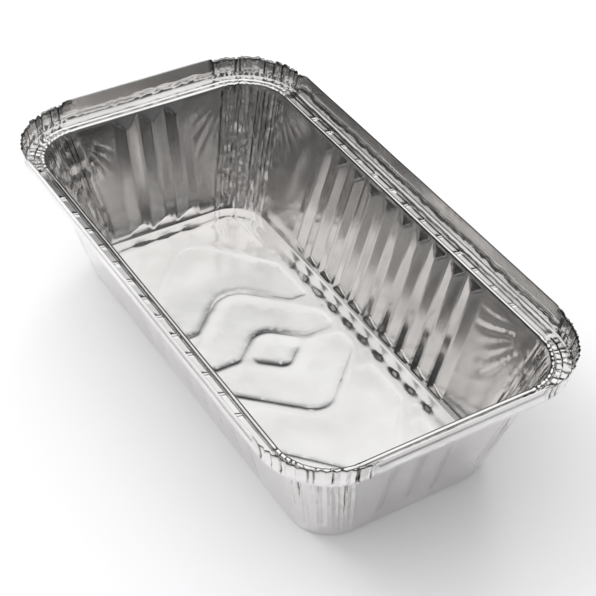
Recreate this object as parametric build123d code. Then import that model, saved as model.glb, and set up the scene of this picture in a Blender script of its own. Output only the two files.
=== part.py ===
from build123d import *
import math
import os

# Aluminium foil tray: one sheet, pressed, crimped at the corners, hemmed on the rim.
# Millimetres. X runs along the tray, Z is up. The origin is under the middle
# of the tray, on the surface it stands on.

# Sheet
gauge = 0.1

# Tray size, taken at the lip, the inner edge of the bead round the mouth
lip_length = 200.0
lip_width = 102.4
lip_height = 50.2
lip_radius = 18.0
wall_inset = 13.15
base_radius = 15.0

# Floor: the ring it stands on, the slope inside the ring, then raised seams and pans
ring_width = 4.0
slope_run_x = 3.6
slope_run_y = 4.8
seam_height = 1.0
seam_half = 0.4
pan_height = 0.25

# Seam pattern, one quarter, as shares of the half length of the field inside the slope
diamond_x_share = 0.15
chevron_share = 0.498
chevron_top_share = 0.154
arrow_share = 0.967
arrow_top_share = 0.562
arrow_side_share = 0.265

# Seam pattern, as shares of the half width of the field
pan_slope_share = 0.1436
diamond_y_share = 0.472
end_pan_side_share = 0.294
end_pan_gap_share = 0.137
diamond_round_share = 0.205
chevron_round_share = 0.342
arrow_round_share = 0.376
shoulder_round_share = 0.274

# Ribs pressed into the walls, as many as fit between the plain ends of each wall
long_rib_pitch = 10.67
long_plain_end = 19.0
short_rib_pitch = 11.2
short_plain_end = 6.8
rib_gap = 1.3
rib_crest = 1.3
rib_depth = 1.1
rib_top_drop = 1.3
rib_bottom = 1.6
rib_ramp = 2.8

# Rim: bead, groove, ledge, standing edge, hem
wall_top_drop = 0.6
bead_width = 2.0
bead_rise = 0.9
bead_shoulder = 0.3
bead_shoulder_rise = 0.6
groove_depth = 0.35
groove_side = 0.3
groove_width = 1.6
groove_rise = 0.5
ledge_width = 2.8
ledge_rise = 0.05
upstand_lean = 1.44
upstand_height = 8.64
hem_gap = 0.3
hem_drop = 3.3

# Corner crimps
pleats = 10
pleat_wall = 0.45
pleat_rim = 0.3
raw_edge_drop = 0.6
raw_edge_jag = 0.2

segments = 2 * pleats
half_long = lip_length / 2
half_wide = lip_width / 2


def mitred(points, distance):
    """Shift an open line sideways by a distance, to the right of its direction."""
    shifted = []
    for i, point in enumerate(points):
        before = points[max(i - 1, 0)]
        after = points[min(i + 1, len(points) - 1)]
        normals = []
        for a, b in ((before, point), (point, after)):
            length = math.hypot(b[0] - a[0], b[1] - a[1])
            if length > 0:
                normals.append(((b[1] - a[1]) / length, (a[0] - b[0]) / length))
        sx = sum(n[0] for n in normals)
        sy = sum(n[1] for n in normals)
        scale = distance * len(normals) / (sx * sx + sy * sy)
        if len(normals) == 2:
            scale = 2 * distance / (sx * sx + sy * sy)
        shifted.append((point[0] + sx * scale, point[1] + sy * scale))
    return shifted


def inset_loop(loop, distance):
    """Shift a closed anticlockwise outline inwards by a distance."""
    count = len(loop)
    shifted = []
    for i in range(count):
        trio = [loop[i - 1], loop[i], loop[(i + 1) % count]]
        shifted.append(mitred(trio, -distance)[1])
    return shifted


def rounded(corners, steps=4):
    """Round the corners of a closed outline. Each corner is x, y, radius."""
    count = len(corners)
    outline = []
    for i, (x, y, radius) in enumerate(corners):
        ax, ay = corners[i - 1][0] - x, corners[i - 1][1] - y
        bx, by = corners[(i + 1) % count][0] - x, corners[(i + 1) % count][1] - y
        la, lb = math.hypot(ax, ay), math.hypot(bx, by)
        ax, ay, bx, by = ax / la, ay / la, bx / lb, by / lb
        half = math.acos(max(-1.0, min(1.0, ax * bx + ay * by))) / 2
        reach = radius / math.tan(half)
        if radius == 0 or reach > 0.49 * min(la, lb):
            outline.append((x, y))
            continue
        mx, my = ax + bx, ay + by
        lm = math.hypot(mx, my)
        far = radius / math.sin(half)
        cx, cy = x + mx / lm * far, y + my / lm * far
        start = math.atan2(y + ay * reach - cy, x + ax * reach - cx)
        end = math.atan2(y + by * reach - cy, x + bx * reach - cx)
        turn = (end - start + math.pi) % (2 * math.pi) - math.pi
        for k in range(steps + 1):
            angle = start + turn * k / steps
            outline.append((cx + radius * math.cos(angle), cy + radius * math.sin(angle)))
    return outline


def field_size():
    """Half length, half width and corner radius of the floor field inside the slope."""
    rim = wall_inset + ring_width
    radius = max(1.0, base_radius - ring_width - slope_run_x - seam_half)
    return half_long - rim - slope_run_x, half_wide - rim - slope_run_y, radius


def seam_outlines():
    """Outlines along the seam crests, one for each pressed pan in the floor."""
    end, top, field_round = field_size()
    small = top * pan_slope_share + seam_half + 0.6
    tip = top * diamond_round_share
    bend = top * chevron_round_share
    shoulder = top * shoulder_round_share
    diamond_x, diamond_y = end * diamond_x_share, top * diamond_y_share
    chevron_x, chevron_top_x = end * chevron_share, end * chevron_top_share
    arrow_x, arrow_top_x = end * arrow_share, end * arrow_top_share
    side_x = end * arrow_side_share
    side_y = (chevron_x - side_x) / (chevron_x - chevron_top_x) * top
    lean = (arrow_x - arrow_top_x) / top
    end_y = top * (1 - end_pan_side_share)
    gap_y = top * end_pan_gap_share
    end_top_x = arrow_x - lean * end_y
    end_low_x = arrow_x - lean * gap_y
    diamond = [(diamond_x, 0, tip), (0, diamond_y, small),
               (-diamond_x, 0, tip), (0, -diamond_y, small)]
    chevron = [(0, top, small), (0, diamond_y, tip), (diamond_x, 0, tip), (0, -diamond_y, tip),
               (0, -top, small), (chevron_top_x, -top, shoulder),
               (chevron_x, 0, bend), (chevron_top_x, top, shoulder)]
    arrow = [(side_x, top, small), (side_x, side_y, tip), (chevron_x, 0, bend),
             (side_x, -side_y, tip), (side_x, -top, small),
             (arrow_top_x, -top, shoulder), (arrow_x, 0, top * arrow_round_share),
             (arrow_top_x, top, shoulder)]
    end_pan = [(end, top, max(small, field_round)), (end_top_x, top, small),
               (end_top_x, end_y, small), (end_low_x, gap_y, 0), (end, gap_y, 0)]
    return [diamond] + mirrored([chevron, arrow], True, False) + mirrored([end_pan], True, True)


def mirrored(outlines, across_x, across_y):
    """Copy outlines to the other end, and to the other side, keeping them anticlockwise."""
    copies = list(outlines)
    if across_x:
        copies += [[(-x, y, r) for x, y, r in reversed(o)] for o in copies]
    if across_y:
        copies += [[(x, -y, r) for x, y, r in reversed(o)] for o in copies]
    return copies


def rim_section():
    """The rim's section on a straight side, from the wall top out to the hem's raw edge."""
    slope = wall_inset / lip_height
    line = [(-wall_top_drop * slope, -wall_top_drop), (0, 0)]
    line += [(bead_shoulder, bead_shoulder_rise), (bead_width / 2, bead_rise)]
    line += [(bead_width - bead_shoulder, bead_shoulder_rise), (bead_width, 0)]
    reach = bead_width + groove_side
    line += [(reach, -groove_depth), (reach + groove_width, -groove_depth)]
    reach += groove_width + groove_rise
    line += [(reach, ledge_rise), (reach + ledge_width, ledge_rise)]
    top = (reach + ledge_width + upstand_lean, ledge_rise + upstand_height)
    line.append(top)
    tall = math.hypot(upstand_lean, upstand_height)
    up = (upstand_lean / tall, upstand_height / tall)
    out = (up[1], -up[0])
    bend = hem_gap / 2 + gauge
    for angle in (60, 120, 180):
        across = bend - bend * math.cos(math.radians(angle))
        rise = bend * math.sin(math.radians(angle))
        line.append((top[0] + out[0] * across + up[0] * rise,
                     top[1] + out[1] * across + up[1] * rise))
    last = line[-1]
    line.append((last[0] - up[0] * hem_drop, last[1] - up[1] * hem_drop))
    return line


# Stations of the section counted from the floor: the wall's top, then the standing edge's
wall_top = 5
edge_top = 15


def section(side):
    """Stations from the floor slope to the hem: outward shift from the lip, height."""
    base = (-wall_inset, gauge)
    ring = (-wall_inset - ring_width, gauge)
    rim = [(o, lip_height + z) for o, z in rim_section()]
    line = [ring, base]
    for part in (0.2, 0.55, 0.85):
        line.append((base[0] + (rim[0][0] - base[0]) * part,
                     base[1] + (rim[0][1] - base[1]) * part))
    line += rim
    if side == "back":
        line = mitred(line, gauge)
    return line


def crimp_sizes():
    """How far each station of the section zigzags at a corner, sideways and up."""
    wall = [0.1, pleat_wall * 0.9, pleat_wall, pleat_wall * 0.9, pleat_rim]
    rim = [pleat_rim * 0.6] * 5 + [pleat_rim * 0.5] * 2
    ledge = [pleat_rim * 0.6, pleat_rim]
    sideways = [0.0] + wall + rim + ledge + [pleat_rim]
    upward = [0.0] * 13 + [0.1, 0.1, 0.0]
    return sideways, upward


def corner_points(station, index, corner):
    """Points of one station round one corner, from one straight side to the next."""
    o, z = station
    sideways, upward = crimp_sizes()
    radius = lip_radius + o
    if index <= wall_top:
        share = (o + wall_inset) / wall_inset
        radius = base_radius + (lip_radius - base_radius) * share
        if index == 0:
            radius = base_radius + (o + wall_inset)
    cx = half_long + o - radius
    cy = half_wide + o - radius
    points = []
    for j in range(segments + 1):
        inside = 0 < j < segments
        swing = (1 if j % 2 else -1) if inside else 0
        angle = math.pi / 2 * j / segments
        r = radius + swing * sideways[index]
        drop = 0.0
        if index == edge_top and inside:
            drop = raw_edge_drop + swing * raw_edge_jag
        points.append((cx + r * math.cos(angle), cy + r * math.sin(angle),
                       z + swing * upward[index] - drop))
    if corner in (1, 3):
        points = [(-x, y, z) for x, y, z in reversed(points)]
    if corner in (2, 3):
        points = [(-x, -y, z) for x, y, z in points]
    return points


def polygon(points, holes=()):
    """A flat face from its corners, with optional holes."""
    inner = [Wire.make_polygon(hole, close=True) for hole in holes]
    return Face(Wire.make_polygon(points, close=True), inner)


def strip(lower, upper):
    """Triangles between two rows of points."""
    faces = []
    for j in range(len(lower) - 1):
        faces.append(polygon([lower[j], lower[j + 1], upper[j + 1]]))
        faces.append(polygon([lower[j], upper[j + 1], upper[j]]))
    return faces


def loops(side):
    """Corner rows for every station up to the top of the standing edge."""
    stations = section(side)
    rows = []
    for index in range(edge_top + 1):
        rows.append([corner_points(stations[index], index, c) for c in range(4)])
    return rows


def rib_faces(pitch, ribbed, wall_point):
    """Ribs along the ribbed length of one wall, and the holes they need in the wall."""
    count = int((ribbed + rib_gap) / pitch)
    faces = []
    holes = []
    low, high = rib_bottom, lip_height - rib_top_drop
    foot = (pitch - rib_gap) / 2
    crest = rib_crest / 2
    for i in range(count):
        mid = (i - (count - 1) / 2) * pitch
        base = [wall_point(mid + u, z, 0) for u, z in
                ((-foot, low), (foot, low), (foot, high), (-foot, high))]
        top = [wall_point(mid + u, z, rib_depth) for u, z in
               ((-crest, low + rib_ramp), (crest, low + rib_ramp),
                (crest, high - rib_ramp), (-crest, high - rib_ramp))]
        holes.append(base)
        faces.append(polygon(top))
        for k in range(4):
            n = (k + 1) % 4
            faces.append(polygon([base[k], base[n], top[n], top[k]]))
    return faces, holes


def wall_faces(side, rows):
    """The four ribbed walls of one side of the sheet."""
    stations = section(side)
    (o0, z0), (o1, z1) = stations[1], stations[wall_top]
    corner = base_radius + wall_inset
    lean = (o1 - o0) / (z1 - z0)
    faces = []
    for wall in range(4):
        here, there = wall, (wall + 1) % 4
        sign = 1 if wall < 2 else -1

        def long_point(u, z, depth):
            return (u, sign * (half_wide + o0 + lean * (z - z0) - depth), z)

        def short_point(u, z, depth):
            return (-sign * (half_long + o0 + lean * (z - z0) - depth), u, z)

        if wall in (0, 2):
            ribbed = 2 * (half_long - corner - long_plain_end)
            ribs, holes = rib_faces(long_rib_pitch, ribbed, long_point)
        else:
            ribbed = 2 * (half_wide - corner - short_plain_end)
            ribs, holes = rib_faces(short_rib_pitch, ribbed, short_point)
        rising = [rows[k][there][0] for k in range(1, wall_top + 1)]
        falling = [rows[k][here][-1] for k in range(wall_top, 0, -1)]
        faces += ribs
        faces.append(polygon(rising + falling, holes))
    return faces


def rim_faces(rows):
    """Rim strips on the straight sides, below the top of the standing edge."""
    faces = []
    for k in range(wall_top, edge_top):
        for wall in range(4):
            there = (wall + 1) % 4
            a, b = rows[k][wall][-1], rows[k][there][0]
            c, d = rows[k + 1][there][0], rows[k + 1][wall][-1]
            faces.append(polygon([a, b, c, d]))
    return faces


def corner_faces(rows):
    """Crimped corners, from the base edge up to the raw top edge."""
    faces = []
    for k in range(1, edge_top):
        for c in range(4):
            faces += strip(rows[k][c], rows[k + 1][c])
    return faces


def floor_faces(side, rows):
    """The ring, the slope inside it, the seams and the pressed pans."""
    lift = gauge if side == "face" else 0.0
    field_long, field_wide, field_round = field_size()
    centre_x, centre_y = field_long - field_round, field_wide - field_round
    radius = field_round + seam_half
    pan_slope = field_wide * pan_slope_share
    crest = []
    for c in range(4):
        sx, sy = (1, -1, -1, 1)[c], (1, 1, -1, -1)[c]
        row = []
        for j in range(segments + 1):
            angle = math.pi / 2 * j / segments
            x = centre_x + radius * math.cos(angle)
            y = centre_y + radius * math.sin(angle)
            row.append((sx * x, sy * y, seam_height + lift))
        crest.append(row if c in (0, 2) else row[::-1])
    ring_outer = [p for c in range(4) for p in rows[1][c]]
    ring_inner = [p for c in range(4) for p in rows[0][c]]
    faces = [polygon(ring_outer, [ring_inner])]
    for c in range(4):
        there = (c + 1) % 4
        faces += strip(rows[0][c], crest[c])
        faces.append(polygon([rows[0][c][-1], rows[0][there][0], crest[there][0], crest[c][-1]]))
    holes = []
    for outline in seam_outlines():
        area = sum(outline[i - 1][0] * outline[i][1] - outline[i][0] * outline[i - 1][1]
                   for i in range(len(outline)))
        ordered = outline if area > 0 else outline[::-1]
        edge = inset_loop(rounded(ordered), seam_half)
        pan = inset_loop(edge, pan_slope)
        high = [(x, y, seam_height + lift) for x, y in edge]
        low = [(x, y, pan_height + lift) for x, y in pan]
        holes.append(high)
        faces.append(polygon(low))
        for i in range(len(high)):
            n = (i + 1) % len(high)
            faces.append(polygon([high[i], high[n], low[n], low[i]]))
    faces.append(polygon([p for row in crest for p in row], holes))
    return faces


def raw_edge_faces(face_rows, back_rows):
    """The cut edge of the sheet round the corners."""
    faces = []
    for c in range(4):
        faces += strip(face_rows[-1][c], back_rows[-1][c])
    return faces


def hem_faces():
    """The folded hem along the four straight sides, with its cut edges."""
    front = section("face")[edge_top:]
    back = section("back")[edge_top:]
    count = len(front)
    faces = []
    for wall in range(4):
        ends = []
        for end in (-1, 1):
            rows = []
            for line in (front, back):
                if wall in (0, 2):
                    y_sign = 1 if wall == 0 else -1
                    rows.append([(end * (half_long - lip_radius), y_sign * (half_wide + o), z)
                                 for o, z in line])
                else:
                    x_sign = -1 if wall == 1 else 1
                    rows.append([(x_sign * (half_long + o), end * (half_wide - lip_radius), z)
                                 for o, z in line])
            ends.append(rows)
        for k in range(count - 1):
            for row in (0, 1):
                faces.append(polygon([ends[0][row][k], ends[1][row][k],
                                      ends[1][row][k + 1], ends[0][row][k + 1]]))
        faces.append(polygon([ends[0][0][-1], ends[1][0][-1], ends[1][1][-1], ends[0][1][-1]]))
        for rows in ends:
            faces.append(polygon(rows[0] + rows[1][::-1]))
    return faces


def foil_tray():
    """The whole tray as one closed solid."""
    faces = []
    all_rows = {}
    for side in ("face", "back"):
        rows = loops(side)
        all_rows[side] = rows
        faces += floor_faces(side, rows)
        faces += wall_faces(side, rows)
        faces += corner_faces(rows)
        faces += rim_faces(rows)
    faces += hem_faces()
    faces += raw_edge_faces(all_rows["face"], all_rows["back"])
    return Solid(Shell(faces))


os.makedirs("parts", exist_ok=True)
tray = foil_tray()
export_step(tray, "parts/foil_tray.step")
print("foil_tray", tray.is_valid, "volume mm3", round(tray.volume, 1))
print("size", tray.bounding_box().size)
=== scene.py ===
# %% [markdown]
# # A pressed and crimped aluminium foil tray
# The real object is one sheet of rolled aluminium foil, about a tenth of a
# millimetre thick. A press draws it into a box, the spare metal gathers into
# pleats at the four corners, and the straight rims are folded into a hem.
# Here the sheet is unrolled, laid out as points on a flat plan, joined into
# triangles, and then every point is carried to its place on the tray. That way
# ribs, pleats and creases are real shape, and the sheet stays in one piece.
# All the sizes below are in millimetres.

import math
import bmesh
import bpy
import numpy as np
from mathutils import Matrix, Vector
from mathutils.geometry import delaunay_2d_cdt


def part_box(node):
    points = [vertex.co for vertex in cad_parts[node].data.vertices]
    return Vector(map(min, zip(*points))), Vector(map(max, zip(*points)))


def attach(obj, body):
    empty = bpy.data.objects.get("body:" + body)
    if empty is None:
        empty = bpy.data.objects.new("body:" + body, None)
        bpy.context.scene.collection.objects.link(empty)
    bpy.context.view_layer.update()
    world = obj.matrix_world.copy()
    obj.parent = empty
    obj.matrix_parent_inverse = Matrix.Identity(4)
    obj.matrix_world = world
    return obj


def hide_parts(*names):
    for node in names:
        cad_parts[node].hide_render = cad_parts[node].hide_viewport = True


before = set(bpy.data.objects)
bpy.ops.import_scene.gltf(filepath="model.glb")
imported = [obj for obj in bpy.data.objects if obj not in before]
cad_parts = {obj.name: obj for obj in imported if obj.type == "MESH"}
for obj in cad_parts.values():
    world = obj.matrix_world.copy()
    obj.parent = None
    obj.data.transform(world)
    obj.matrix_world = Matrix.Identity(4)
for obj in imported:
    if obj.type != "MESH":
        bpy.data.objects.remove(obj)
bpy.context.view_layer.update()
tray_low, tray_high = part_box("foil_tray")
mm = 0.001
link = bpy.context.scene.collection.objects.link
tray_length = (tray_high.x - tray_low.x) / mm
tray_width = (tray_high.y - tray_low.y) / mm
tray_height = (tray_high.z - tray_low.z) / mm
print("tray", round(tray_length, 1), round(tray_width, 1), round(tray_height, 1), "mm")

# %% [markdown]
# ## The section of the sheet
# Seen end on, the sheet climbs the wall, rolls over a bead, dips into a groove,
# runs flat along a ledge, stands up as a low edge, and folds back outside as a
# hem. One line of points can say all of that. The distance along this line is
# the second coordinate of every point of the sheet.

# %% Sizes of the section
gauge = 0.1
wall_inset = 13.15
bead_width = 2.0
groove_depth = 0.35
groove_side = 0.3
groove_width = 1.6
groove_rise = 0.5
ledge_width = 2.8
ledge_rise = 0.05
upstand_lean = 1.44
upstand_height = 8.64
hem_bend = 0.25
hem_drop = 3.3
rim_reach = 9.133
rim_height = 8.883
half_long = tray_length / 2 - rim_reach
half_wide = tray_width / 2 - rim_reach
lip_height = tray_height - rim_height
lip_radius = 18.0
base_radius = 15.0
print("lip", round(2 * half_long, 1), "by", round(2 * half_wide, 1),
      "at height", round(lip_height, 1))

# %% Draw the section as a line
# The arch of the bead: how far outside the lip, and how high above it
bead_arch = [(0.12, 0.3), (0.35, 0.62), (0.65, 0.83), (1.0, 0.9),
             (1.35, 0.83), (1.65, 0.62), (1.88, 0.3)]
line = [(-wall_inset, gauge), (0.0, lip_height)]
line += [(o, lip_height + z) for o, z in bead_arch]
bead_end = len(line)
line.append((bead_width, lip_height))
reach = bead_width + groove_side
line.append((reach, lip_height - groove_depth))
line.append((reach + groove_width, lip_height - groove_depth))
reach += groove_width + groove_rise
line.append((reach, lip_height + ledge_rise))
ledge_end = len(line)
line.append((reach + ledge_width, lip_height + ledge_rise))
edge_top = len(line)
top_out = reach + ledge_width + upstand_lean
top_high = lip_height + ledge_rise + upstand_height
line.append((top_out, top_high))
tall = math.hypot(upstand_lean, upstand_height)
up_o, up_z = upstand_lean / tall, upstand_height / tall
for turn in (60, 120, 180):
    across = hem_bend * (1 - math.cos(math.radians(turn)))
    rise = hem_bend * math.sin(math.radians(turn))
    line.append((top_out + up_z * across + up_o * rise, top_high - up_o * across + up_z * rise))
line.append((line[-1][0] - up_o * hem_drop, line[-1][1] - up_z * hem_drop))
line_o = np.array([p[0] for p in line])
line_z = np.array([p[1] for p in line])
line_t = np.concatenate([[0], np.cumsum(np.hypot(np.diff(line_o), np.diff(line_z)))])
t_lip = line_t[1]
t_bead = line_t[bead_end]
t_groove = line_t[bead_end + 1]
t_ledge = line_t[bead_end + 3]
t_stand = line_t[ledge_end]
t_top = line_t[edge_top]
t_hem = line_t[-1]
print("the sheet is", round(t_hem, 1), "mm from the foot of the wall to the hem")

# %% [markdown]
# ## The way round the tray
# The first coordinate of a point is the distance walked round the lip. Four
# straight sides and four round corners follow each other, starting in the
# middle of the right-hand short side. A few helpers turn that distance into a
# side, a corner and a heading.

# %% Sides and corners along the lip
straight = [2 * (half_wide - lip_radius), 2 * (half_long - lip_radius)] * 2
arc = math.pi / 2 * lip_radius
side_start = []
walked = -straight[0] / 2
for i in range(4):
    side_start.append(walked)
    walked += straight[i] + arc
round_length = walked + straight[0] / 2
side_middle = [side_start[i] + straight[i] / 2 for i in range(4)]
corner_sign = [(1, 1), (-1, 1), (-1, -1), (1, -1)]
print("once round the lip is", round(round_length, 1), "mm")


def locate(s):
    """Side number, distance from that side's middle, and share of the way round its corner."""
    wrapped = np.where(s > round_length - straight[0] / 2 + 1e-9, s - round_length, s)
    side = np.zeros(len(s), int)
    for i in range(1, 4):
        side[wrapped >= side_start[i] - 1e-9] = i
    start = np.array(side_start)[side]
    span = np.array(straight)[side]
    along = wrapped - start - span / 2
    share = np.clip((wrapped - start - span) / arc, 0, 1)
    return side, along, share


# %% [markdown]
# ## Soft random numbers
# Foil is never perfectly flat. This helper gives a smooth random height for any
# place, always the same one for the same place, so that two faces that meet
# also agree.

# %% Smooth noise and soft steps
# Large odd numbers that keep neighbouring cells from looking alike
stir_x, stir_y, stir_z = 374761393, 668265263, 2147483647
stir_seed, stir_again = 974711, 1274126177


def hash_number(ix, iy, iz, seed):
    """A repeatable number from -1 to 1 for a cell of space."""
    mixed = ix * stir_x + iy * stir_y + iz * stir_z + seed * stir_seed
    mixed = (mixed ^ (mixed >> 13)) * stir_again
    mixed = mixed ^ (mixed >> 16)
    return (mixed & 65535) / 32767.5 - 1


def rumple(points, size, seed):
    """Smooth noise from -1 to 1. The size is the width of its bumps."""
    cell = np.floor(points / size).astype(np.int64)
    inside = points / size - cell
    inside = inside * inside * (3 - 2 * inside)
    total = 0
    for corner in np.ndindex(2, 2, 2):
        wx, wy, wz = np.where(corner, inside, 1 - inside).T
        ix, iy, iz = (cell + corner).T
        total = total + wx * wy * wz * hash_number(ix, iy, iz, seed)
    return total


def ease(low, high, x):
    """A soft step from 0 to 1 between two values."""
    share = np.clip((x - low) / (high - low), 0, 1)
    return share * share * (3 - 2 * share)


def rumples(points, layers):
    """Several layers of noise. Each layer is a depth, a size of bumps and a seed."""
    return sum(depth * rumple(points, size, seed) for depth, size, seed in layers)


print("noise check", rumple(np.array([[1.0, 2.0, 3.0]]), 2.0, 5).round(3))

# %% [markdown]
# ## Ribs in the walls
# The press stiffens the flat walls with upright ribs pushed inwards. Each rib
# is a low roof: two sloping sides that meet at a narrow crest, and a sloping
# end at the top and bottom. The lowest of the three slopes decides the depth,
# which gives the folded V under the bead.

# %% Rib depth
long_pitch, long_plain = 10.67, 19.0
short_pitch, short_plain = 11.2, 6.8
rib_gap, rib_crest, rib_depth = 1.3, 1.3, 1.1
rib_low, low_ramp = 1.4, 4.2
rib_high, top_ramp = lip_height - 0.3, 3.8
ridge_blend, ridge_sag = 0.5, 0.12
corner_room = base_radius + wall_inset
ribbed = [2 * (half_wide - corner_room - short_plain),
          2 * (half_long - corner_room - long_plain)] * 2
pitch = [short_pitch, long_pitch] * 2
rib_count = [int((ribbed[i] + rib_gap) / pitch[i]) for i in range(4)]
rib_zone = [rib_count[i] * pitch[i] / 2 for i in range(4)]
print("ribs on each side", rib_count)


def rib_shape(side, along, z):
    """How far the wall is pushed inwards."""
    step = np.array(pitch)[side]
    count = np.array(rib_count)[side]
    from_rib = np.abs((along / step + count / 2) % 1 - 0.5) * step
    foot = (step - rib_gap) / 2
    slope = (foot - from_rib) / (foot - rib_crest / 2)
    top = (rib_high - z) / top_ramp
    low = (z - rib_low) / low_ramp
    mix = np.clip(0.5 + (slope - top) / ridge_blend, 0, 1)
    roof = slope * (1 - mix) + top * mix - ridge_sag * mix * (1 - mix)
    depth = np.clip(np.minimum(roof, low), 0, 1)
    return np.where(np.abs(along) < np.array(rib_zone)[side], rib_depth * depth, 0)


# %% [markdown]
# ## Pleats at the corners
# Where the flat sheet becomes a round corner there is too much metal, and it
# gathers into upright pleats: many narrow ones near the lip, fewer and wider
# ones near the floor. Each corner gets its own random fold lines. They drift
# from one height to the next, so that some folds run on a slant.

# %% Random fold lines for one corner
fold_levels = np.array([0.0, 5, 10, 16, 23, 30, 37, 43, 48, 52, 57, 63])
fold_count = 28
fold_shift, fold_drift, fold_overrun = 0.3, 0.17, 1.2
corner_half = arc / 2


def fold_lines(seed):
    """For each height, where the folds are and how far each stands out."""
    rng = np.random.default_rng(seed)
    spacing = 2 * corner_half / fold_count
    order = np.arange(fold_count)
    shifts = rng.uniform(-fold_shift, fold_shift, fold_count)
    places = -corner_half + spacing * (order + 0.5 + shifts)
    strength = rng.uniform(0.35, 1.0, fold_count) * np.where(order % 2, 1, -1)
    fades = rng.uniform(4, 36, fold_count)
    # A third of the folds reach all the way down to the foot of the wall
    fades[rng.permutation(fold_count)[: fold_count // 3]] = -9
    where, height = [], []
    for level in fold_levels:
        places = np.sort(places + rng.uniform(-fold_drift, fold_drift, fold_count) * spacing)
        places = np.clip(places, -corner_half + 0.2, corner_half - 0.2)
        alive = ease(-5, 3, level - fades)
        outside = corner_half + fold_overrun
        where.append(np.concatenate([[-outside], places, [outside]]))
        stands_out = strength * alive * rng.uniform(0.6, 1.1, fold_count)
        height.append(np.concatenate([[0], stands_out, [0]]))
    return np.array(where), np.array(height)


def fold_at(lines, t):
    """Fold places and heights at distances up the sheet."""
    level = np.interp(t, fold_levels, np.arange(len(fold_levels)))
    below = np.clip(np.floor(level).astype(int), 0, len(fold_levels) - 2)
    share = (level - below)[:, None]
    where, height = lines
    return (where[below] * (1 - share) + where[below + 1] * share,
            height[below] * (1 - share) + height[below + 1] * share)


def fold_height(lines, across, t):
    """The zigzag of the folds at a distance across the corner and up the sheet."""
    where, height = fold_at(lines, t)
    total = np.zeros(len(t))
    for k in range(where.shape[1] - 1):
        left, right = where[:, k], where[:, k + 1]
        share = (across - left) / np.maximum(right - left, 1e-6)
        here = (across >= left) & (across < right)
        total = np.where(here, height[:, k] * (1 - share) + height[:, k + 1] * share, total)
    return total


folds = [fold_lines(11 + i) for i in range(4)]
print("fold lines per corner", fold_count)

# %% Deep creases, where a pleat has closed up
deep_width, deep_count = 0.42, 9
deep_start, deep_depth = (12, 42), (0.45, 0.95)


def deep_lines(seed):
    """Which folds are closed tight, and from what height up."""
    rng = np.random.default_rng(seed)
    chosen = np.sort(rng.permutation(np.arange(1, fold_count, 2))[:deep_count])
    return [(int(k) + 1, float(rng.uniform(*deep_start)), float(rng.uniform(*deep_depth)))
            for k in chosen]


deep = [deep_lines(51 + i) for i in range(4)]


def deep_height(i, across, t):
    """How far the tight creases are pushed in at one corner."""
    where, height = fold_at(folds[i], t)
    total = np.zeros(len(t))
    for k, start, depth in deep[i]:
        notch = np.clip(1 - np.abs(across - where[:, k]) / deep_width, 0, 1)
        wall = ease(start, start + 6, t) * (1 - ease(t_lip - 2.5, t_lip - 0.5, t))
        edge = ease(t_stand + 0.5, t_stand + 2, t)
        total = np.maximum(total, notch * depth * np.maximum(0.75 * wall, edge))
    return total


print("tight creases per corner", [len(d) for d in deep])

# %% [markdown]
# ## Wrinkles that fan out from the corners
# The pull of the pleats leaves soft curved wrinkles in the flat wall beside
# each corner, like rays from a point just under the bead. They are long waves
# in the angle round that point.

# %% Fan wrinkles
# For each corner, before and after it: width of one wrinkle in degrees, first and
# last angle below the lip in degrees, reach in millimetres, and strength
fans = [[(14, 30, 70, 26, 0.15), (12, 2, 62, 27, 0.22)],
        [(16, 20, 75, 20, 0.12), (15, 24, 70, 26, 0.15)],
        [(12, 30, 70, 18, 0.14), (14, 4, 58, 25, 0.22)],
        [(12, 10, 66, 22, 0.20), (13, 10, 60, 20, 0.14)]]
fan_bend, fan_bend_length = 3.5, 8.0
fan_sharpness, fan_depth = 0.22, 1.35


def fan_wrinkles(beyond, t, fan, seed):
    """Height of the wrinkles beside a corner, from the distance past the corner."""
    width, first, last, reach_out, strength = fan
    away = beyond + 2.5
    down = t_lip - 1.5 - t
    radius = np.hypot(away, down)
    angle = np.degrees(np.arctan2(down, away))
    bend = fan_bend * np.sin(radius / fan_bend_length + seed)
    wave = np.cos(np.radians((angle + bend) * 360 / width) + seed)
    wave = wave - fan_sharpness * np.cos(np.radians((angle + bend) * 720 / width) + seed)
    wide_enough = ease(1.5, 2.8, radius * math.radians(width))
    near = wide_enough * (1 - ease(0.7 * reach_out, 1.35 * reach_out, radius))
    zone = ease(first - 6, first + 6, angle) * (1 - ease(last - 8, last + 8, angle))
    patch = 0.65 + 0.35 * np.sin(np.radians(angle * 360 / (2.7 * width)) + 2.3 * seed)
    grown = np.clip(radius / reach_out, 0, 1)
    return fan_depth * strength * wave * near * zone * patch * grown


# %% [markdown]
# ## From the flat plan to the tray
# This is the heart of the model. It takes a distance round the lip and a
# distance up the sheet, finds the section there, bends it round the sides and
# corners, and adds ribs, pleats, wrinkles and small dents.

# %% The depth of all the creases of the wall
pleat_levels = [0, 4, 14, 30, 44, t_lip]
pleat_sizes = [0.15, 0.55, 0.72, 0.66, 0.5, 0.24]


def corner_across(side, along, share):
    """The nearest corner, and the distance along the lip from its middle."""
    span = np.array(straight)[side]
    after = along - span / 2 - corner_half
    before = along + span / 2 + corner_half
    take_after = np.abs(after) <= np.abs(before)
    nearest = np.where(take_after, side, (side + 3) % 4)
    return nearest, np.where(take_after, after, before)


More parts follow.
